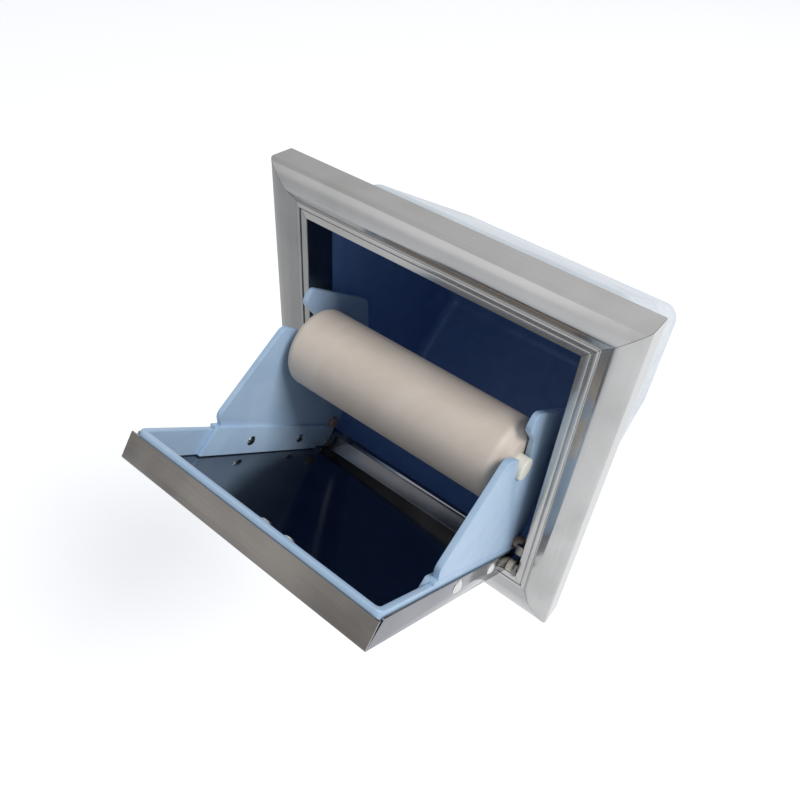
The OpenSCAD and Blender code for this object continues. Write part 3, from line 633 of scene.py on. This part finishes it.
def door_panel():
    """The folded tray: a floor with flanges at the front, at the hinge and at both sides."""
    section = rounded([
        (0, DOOR_FLANGE, 0), (0, 0, DOOR_BEND), (-DOOR_L, 0, DOOR_BEND),
        (-DOOR_L, HINGE_FLANGE, 0),
    ], closed=False, steps=5)
    line = [Vector((-HALF_DOOR, p.y, p.x)) for p in section]
    tray = sheet("door_tray", line, Vector((DOOR_W, 0, 0)))
    modify(tray, "SOLIDIFY", thickness=DOOR_SHEET, offset=-1, use_even_offset=True)
    outline = [
        (-DOOR_SHEET, 0.0), (-DOOR_SHEET - CORNER_CUT, DOOR_FLANGE),
        (-DOOR_L + HINGE_CUT, DOOR_FLANGE), (-DOOR_L, DOOR_FLANGE - HINGE_CUT), (-DOOR_L, 0.0),
    ]
    flanges = [
        slab(
            "side_flange", [Vector((side * HALF_DOOR, w, v)) for v, w in outline],
            Vector((-side * DOOR_SHEET, 0, 0)),
        )
        for side in (-1, 1)
    ]
    joined(tray, *flanges)
    return round_edges(tray, 0.22, 2, 40)


# direction along the open door towards its free edge
ALONG = DOOR_PLACE.to_3x3() @ Vector((0, 0, 1))


def on_front_flange(at, out):
    """Whether a face of the tray lies on the outside of its front flange."""
    return out.dot(ALONG) > 0.3 and (at - DOOR_PLACE.translation).dot(ALONG) > -0.0004


door_tray = fit(door_panel(), DOOR_PLACE, "door", ["door_panel"], DOOR_STEEL)
# the front flange's outside gets the darker copy of the door steel, which is painted shade
second_material(door_tray, DOOR_FRONT_SHADE, on_front_flange)


def liner():
    """The liner: a U-shaped rim with rounded front corners."""
    outer = rounded([
        (-RIM_OUT, -RIM_END, 0), (-RIM_OUT, -RIM_FRONT, RIM_R), (RIM_OUT, -RIM_FRONT, RIM_R),
        (RIM_OUT, -RIM_END, 0),
    ], closed=False)
    inner = rounded([
        (RIM_IN, -RIM_END, 0), (RIM_IN, -LINER_FACE, RIM_INNER_R),
        (-RIM_IN, -LINER_FACE, RIM_INNER_R), (-RIM_IN, -RIM_END, 0),
    ], closed=False)
    piece = slab(
        "liner_rim", [Vector((x, RIM_LOW, v)) for x, v in outer + inner],
        Vector((0, RIM_TOP - RIM_LOW, 0)),
    )
    return round_edges(piece, 0.7, 4)


fit(liner(), DOOR_PLACE, "door", ["door_liner"], BLUE_ABS)


def ear_outline():
    """Outline of an ear's plate as (along the door, height), its notch upright on the open door."""
    seat = Vector((-ROLLER_V, ROLLER_W))
    lean = Vector((math.cos(DOOR_OPEN), math.sin(DOOR_OPEN)))
    out = Vector((lean.y, -lean.x))
    front, rear = seat + NOTCH_R * out, seat - NOTCH_R * out
    lip = front + lean * (NOTCH_LIP - front.y) / lean.y
    bend = rear + lean * NOTCH_RUN
    heel = HEEL_IN - DOOR_L
    opened = math.degrees(DOOR_OPEN)
    before = rounded([
        (heel, RIM_TOP, HEEL_R), EAR_TOE, EAR_KNEE, EAR_BROW, (lip.x, lip.y, NOTCH_LIP_R),
        (front.x, front.y, 0), (-DOOR_L, front.y, 0),
    ])
    after = rounded([
        (rear.x, rear.y, 0), (bend.x, bend.y, NOTCH_BEND_R), LOBE_FRONT, LOBE_TOP, LOBE_REAR,
        EAR_REAR, (heel, RIM_TOP, 0),
    ])
    return before[:-1] + arc(seat, NOTCH_R, opened - 98, opened - 270, 28) + after[1:-1]


def block(name, x, outline, run):
    """A plate across the door: its outline as (height, along) at x, pulled by run along X."""
    return slab(name, [Vector((x, w, v)) for w, v in outline], Vector((run, 0, 0)))


def ear():
    """The right ear: a plate with its notch, a foot on the rim and a strip inside the rim."""
    plate = block("ear", EAR_IN, [(w, v) for v, w in ear_outline()], EAR_T)
    low, start = RIM_LOW + STRIP_GAP, -STRIP_START - STRIP_RAMP
    strip = block("strip", STRIP_IN, [
        (low, -STRIP_START), (low, -STRIP_END), (FOOT_TOP, -STRIP_END), (FOOT_TOP, start),
    ], STRIP_T)
    foot = block("foot", STRIP_IN, [
        (RIM_TOP, start), (RIM_TOP, -STRIP_END), (FOOT_TOP, -STRIP_END), (FOOT_TOP, start),
    ], RIM_OUT - STRIP_IN)
    joined(plate, foot, strip)
    return round_edges(plate, 0.55, 3, 40)


ear_right = ear()
ear_left = copied(ear_right, "ear_piece_left", MIRROR)
ear_right.name = ear_right.data.name = "ear_piece_right"
fit(ear_right, DOOR_PLACE, "door", ["ear_right"], BLUE_ABS, 40)
fit(ear_left, DOOR_PLACE, "door", ["ear_left"], BLUE_ABS, 40)

# ---------- rivets, nuts and bushes ----------


def dome(start, diameter, height, steps=10):
    """Section of a domed head on start, from its rim to its top, as (along, radius)."""
    radius = (diameter * diameter / 4 + height * height) / (2 * height)
    lean = math.asin(min(1, diameter / 2 / radius))
    lean = math.pi - lean if height > radius else lean
    angles = [lean * (1 - i / steps) for i in range(steps + 1)]
    return [(start + height - radius + radius * math.cos(a), radius * math.sin(a)) for a in angles]


def rivet(name, near, far, head, head_h, tail, tail_h):
    """A rivet along X: domed head beyond far, set end beyond near, shank between them."""
    low = [(near - (x - near), r) for x, r in dome(near, tail, tail_h)]
    # the head stands on a short straight rim
    high = [(far, head / 2 - 0.1)] + [(x + 0.12, r) for x, r in dome(far, head, head_h - 0.12)]
    return turned(name, low[::-1] + [(near, SHANK_R), (far, SHANK_R)] + high, 48)


def row(name, first, moves):
    """Copies of a piece, one for each move, gathered as one piece."""
    copies = [copied(first, f"{name}_{i}", move) for i, move in enumerate(moves)]
    take(first)
    bpy.ops.object.delete()
    return gathered(name, *copies)


SHANK_R = 1.5
SIDES = (Matrix.Identity(4), MIRROR)
ear_rivet = rivet("ear_rivet", STRIP_IN, HALF_DOOR, head=6.8, head_h=1.5, tail=5.0, tail_h=1.0)
fit(row("ear_rivet_row", ear_rivet, [
    side @ Matrix.Translation((0, RIVET_UP, -RIVET_FRONT - i * RIVET_PITCH))
    for side in SIDES for i in (0, 1)
]), DOOR_PLACE, "door", ["ear_rivets"], RIVET_STEEL, 40)

bracket_rivet = rivet(
    "bracket_rivet", BRACKET_IN, BRACKET_OUT + SHEET, head=4.6, head_h=0.95, tail=4.6, tail_h=0.8,
)
fit(row("bracket_rivet_row", bracket_rivet, [
    side @ Matrix.Translation((0, -BRACKET_RIVET_OUT, PIVOT_Z + up))
    for side in SIDES for up in BRACKET_RIVETS_UP
]), Matrix.Identity(4), "housing", ["bracket_rivets"], RIVET_STEEL, 40)


def on_both_sides(piece, names, place, body, nodes, material):
    """Fits a right-hand piece and its mirrored copy."""
    left = copied(piece, names[1], MIRROR)
    piece.name = piece.data.name = names[0]
    fit(piece, place, body, [nodes[0]], material)
    fit(left, place, body, [nodes[1]], material)


HINGE_PLACE = DOOR_PLACE @ Matrix.Translation((0, PIVOT_W * MM, (PIVOT_E - DOOR_L) * MM))
STOP_PLACE = HINGE_PLACE @ Matrix.Translation((0, STOP_W * MM, STOP_V * MM))

SLEEVE_END, SHOULDER_END = RIM_IN + FIT_CLEAR, BRACKET_IN - SHOULDER_GAP
hinge_bush = round_edges(turned("hinge_bush", [
    (SLEEVE_END, BUSH_BORE_R), (SLEEVE_END, SLEEVE_R), (HALF_DOOR, SLEEVE_R),
    (HALF_DOOR, SHOULDER_R), (SHOULDER_END, SHOULDER_R), (SHOULDER_END, BUSH_BORE_R),
    (SLEEVE_END, BUSH_BORE_R),
]), 0.2, 3)
on_both_sides(hinge_bush, ("hinge_sleeve_right", "hinge_sleeve_left"), HINGE_PLACE, "door",
              ("hinge_bush_right", "hinge_bush_left"), NATURAL_NYLON)

STOP_HEAD, STOP_END = EAR_IN - STOP_HEAD_L, BRACKET_IN - STOP_SIDE_GAP
stop_bush = round_edges(turned("stop_bush", [
    (STOP_HEAD, 0), (STOP_HEAD, STOP_R), (EAR_IN, STOP_R), (EAR_IN, STOP_NECK_R),
    (EAR_OUT, STOP_NECK_R), (EAR_OUT, STOP_R), (STOP_END, STOP_R), (STOP_END, 0),
]), 0.45, 4)
on_both_sides(stop_bush, ("stop_buffer_right", "stop_buffer_left"), STOP_PLACE, "door",
              ("stop_bush_right", "stop_bush_left"), TAN_NYLON)

PIN_NECK = RIM_IN - PIN_HEAD_GAP
PIN_HEAD, PIN_END = PIN_NECK - PIN_HEAD_T, BRACKET_OUT - PIN_SHORT
hinge_pin = round_edges(turned("hinge_pin", [
    (PIN_HEAD, 0), (PIN_HEAD, PIN_HEAD_R), (PIN_NECK, PIN_HEAD_R), (PIN_NECK, PIN_R),
    (PIN_END, PIN_R), (PIN_END, 0),
]), 0.25, 3)
on_both_sides(hinge_pin, ("hinge_pivot_right", "hinge_pivot_left"), HINGE_PLACE, "housing",
              ("hinge_pin_right", "hinge_pin_left"), RIVET_STEEL)

ALONG_DOOR = Matrix.Rotation(QUARTER, 4, "Y")
STUDS = [
    Matrix.Translation((STUD_X + i * STUD_PITCH, STUD_UP, 0)) @ ALONG_DOOR for i in (0, 1)
]
NUT_FOOT = LINER_FACE + WASHER_T
washer = round_edges(turned("washer", [
    (LINER_FACE, STUD_BORE_R), (LINER_FACE, WASHER_R), (NUT_FOOT, WASHER_R),
    (NUT_FOOT, STUD_BORE_R), (LINER_FACE, STUD_BORE_R),
]), 0.15, 2)
fit(row("washer_pair", washer, STUDS), DOOR_PLACE, "door", ["liner_washers"],
    RIVET_STEEL)

NUT_BORE_TOP = NUT_FOOT + NUT_T + FIT_CLEAR
nut = turned("domed_nut", [
    (NUT_FOOT, STUD_BORE_R), (NUT_FOOT, NUT_FOOT_R), (NUT_FOOT + 0.2, NUT_R),
    *dome(NUT_FOOT + NUT_T, 2 * NUT_R, NUT_DOME),
    (NUT_BORE_TOP, 0), (NUT_BORE_TOP, STUD_BORE_R), (NUT_FOOT, STUD_BORE_R),
])
fit(row("domed_nut_pair", nut, STUDS), DOOR_PLACE, "door", ["liner_nuts"],
    RIVET_STEEL, 40)

# ---------- roller ----------

tube = turned("roller_sleeve", [
    (-CAP_START, TUBE_IN_R), (-CAP_START, ROLLER_R), (CAP_START, ROLLER_R),
    (CAP_START, TUBE_IN_R), (-CAP_START, TUBE_IN_R),
], 160)
fit(tube, ROLLER_PLACE, "roller", ["roller_tube"], CREAM_PP)

PLUG_END = TUBE_HALF - PLUG_L
end_face = rounded([
    (CAP_START, ROLLER_R, 0), (ROLLER_HALF - CONE_L, ROLLER_R, CAP_EDGE_R),
    (ROLLER_HALF, CONE_R, CAP_FACE_R), (ROLLER_HALF, CAP_BORE_R, 0),
], closed=False, steps=10)
cap = turned("cap", [
    (PLUG_END, CAP_BORE_R), (PLUG_END, PLUG_R), (CAP_START, PLUG_R), (CAP_START, ROLLER_R),
    *[(p.x, p.y) for p in end_face[1:]], (PLUG_END, CAP_BORE_R),
], 160)
on_both_sides(cap, ("roller_end_right", "roller_end_left"), ROLLER_PLACE, "roller",
              ("roller_cap_right", "roller_cap_left"), CREAM_PP)

axle = round_edges(turned("axle_rod", [
    (-AXLE_HALF, 0), (-AXLE_HALF, AXLE_R), (AXLE_HALF, AXLE_R), (AXLE_HALF, 0),
], 96), 0.7, 4)
fit(axle, ROLLER_PLACE, "roller_axle", ["roller_axle"], ACETAL)

# ---------- CAD nodes that stay ----------

for node in ("corner_keys", "frame_screws", "liner_studs"):
    frame["nodes"][node].data.materials.clear()
    frame["nodes"][node].data.materials.append(ZINC_STEEL)

# ---------- stage and light ----------


def greater(tree, first, second):
    """The greater of two values."""
    return add(tree, "ShaderNodeMath", {0: first, 1: second}, operation="MAXIMUM").outputs[0]


def seen_directly(tree):
    """1 for rays from the camera, from gloss and through glass, 0 for the others."""
    path = add(tree, "ShaderNodeLightPath").outputs
    near = greater(tree, path["Is Camera Ray"], path["Is Glossy Ray"])
    return greater(tree, near, path["Is Transmission Ray"])


FLOOR_SIZE, FLOOR_Z = 14, -0.42
put_down()
bpy.ops.mesh.primitive_plane_add(size=FLOOR_SIZE, location=(0, 0, FLOOR_Z))
floor = bpy.context.object
floor.name = "studio_floor"
# Pale matt floor: it takes the shadow, and a glow that only direct rays see keeps it near white
floor_material = bpy.data.materials.new("pale_studio_floor")
floor_material.use_nodes = True
floor_tree = floor_material.node_tree
floor_shader = floor_tree.nodes["Principled BSDF"]
floor_shader.inputs["Base Color"].default_value = colour("E6E6E6")
floor_shader.inputs["Roughness"].default_value = 0.9
floor_shader.inputs["Specular IOR Level"].default_value = 0.0
matt = floor_shader.outputs[0]
glow = add(floor_tree, "ShaderNodeEmission", inputs={"Color": colour("FFFFFF"), "Strength": 0.5})
lit = add(floor_tree, "ShaderNodeAddShader", {0: matt, 1: glow.outputs[0]}).outputs[0]
shown = {0: seen_directly(floor_tree), 1: matt, 2: lit}
floor_mix = add(floor_tree, "ShaderNodeMixShader", shown)
floor_end = floor_tree.nodes["Material Output"].inputs["Surface"]
floor_tree.links.new(floor_mix.outputs[0], floor_end)
floor.data.materials.append(floor_material)

world = bpy.data.worlds.new("soft_studio")
bpy.context.scene.world = world
world.use_nodes = True
sky = world.node_tree
backdrop = sky.nodes["Background"]
direct = seen_directly(sky)
# white where it is seen; as a light it is weaker and a little cooler than the lamps
SKY_LIGHT, SKY_SEEN = 0.42, 1.0
level = add(sky, "ShaderNodeMapRange", {"Value": direct}, {"To Min": SKY_LIGHT, "To Max": SKY_SEEN})
drive(sky, backdrop, "Strength", level.outputs["Result"])
tint = ramp(sky, direct, (0.0, colour("EAF1FA")), (1.0, colour("FFFFFF")))
drive(sky, backdrop, "Color", tint)


def soft_box(name, place, size, power):
    """A square studio light that points at the middle of the wall opening."""
    data = bpy.data.lights.new(name, "AREA")
    data.shape, data.size, data.energy = "SQUARE", size, power
    lamp = bpy.data.objects.new(name, data)
    bpy.context.scene.collection.objects.link(lamp)
    lamp.location = place
    lamp.rotation_euler = (-Vector(place)).to_track_quat("-Z", "Y").to_euler()


soft_box("key_light", (3.15, 0.18, 3.75), size=2.1, power=168)
soft_box("front_light", (-0.62, -1.1, 0.32), size=0.8, power=0.95)

bpy.context.scene.view_settings.view_transform = "Standard"
